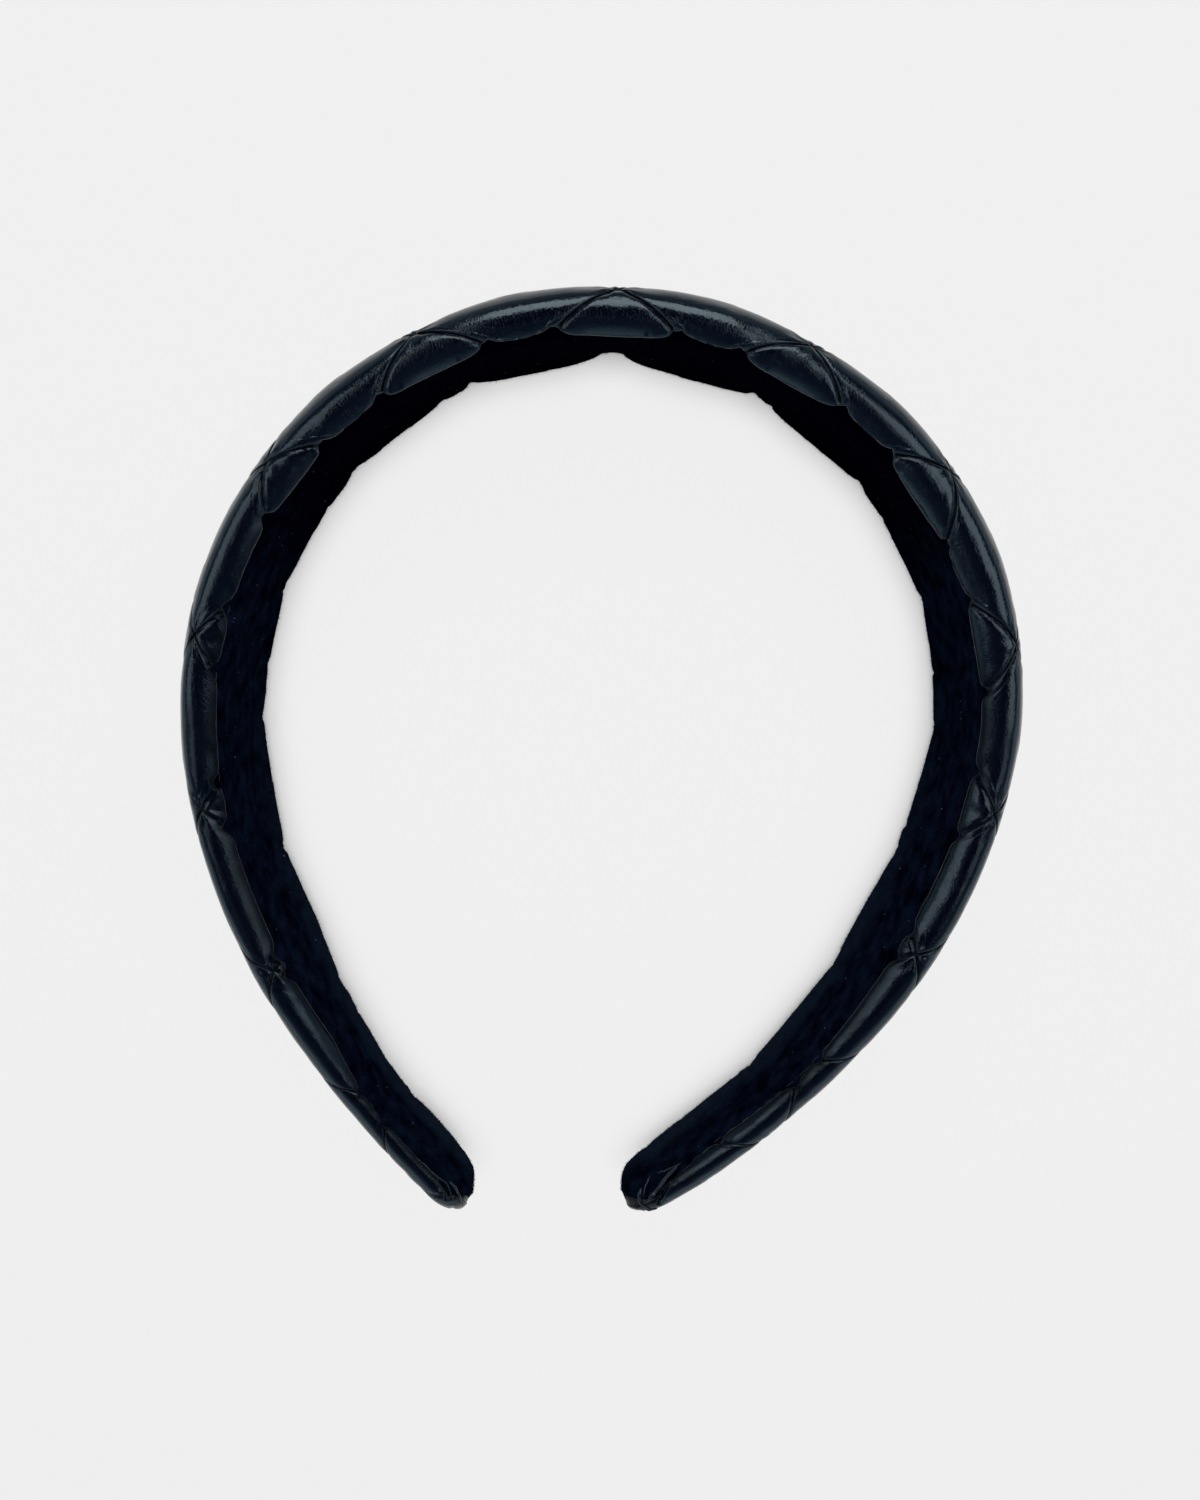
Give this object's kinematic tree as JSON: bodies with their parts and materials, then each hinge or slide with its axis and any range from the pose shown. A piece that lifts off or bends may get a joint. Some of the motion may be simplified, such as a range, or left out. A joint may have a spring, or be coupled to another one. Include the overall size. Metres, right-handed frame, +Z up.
{
  "type": "quilted headband",
  "caption": "Padded, tapering hair band with a diamond-quilted leatherette cover, a velvet lining and rounded open tips, lying on its side edge.",
  "frame": {"origin": "under the middle of the band's box, on the surface that it lies on", "axes": "+Z up from the surface, +Y to the crown of the band, -Y to its open tips, +X to the right arm as seen from above"},
  "size_m": [0.1434, 0.1686, 0.0405],
  "materials": {
    "leatherette": "soft satin black leatherette with fine grain, sewn in diamonds",
    "velvet": "short black velvet pile with a few specks of lint",
    "leatherette_fold": "black leatherette folded in at the tips, glossier along the fold"
  },
  "bodies": {
    "root": {"quilted_cover": "leatherette", "velvet_lining": "velvet", "left_tip_tuck": "leatherette_fold", "right_tip_tuck": "leatherette_fold"}
  },
  "joints": []
}
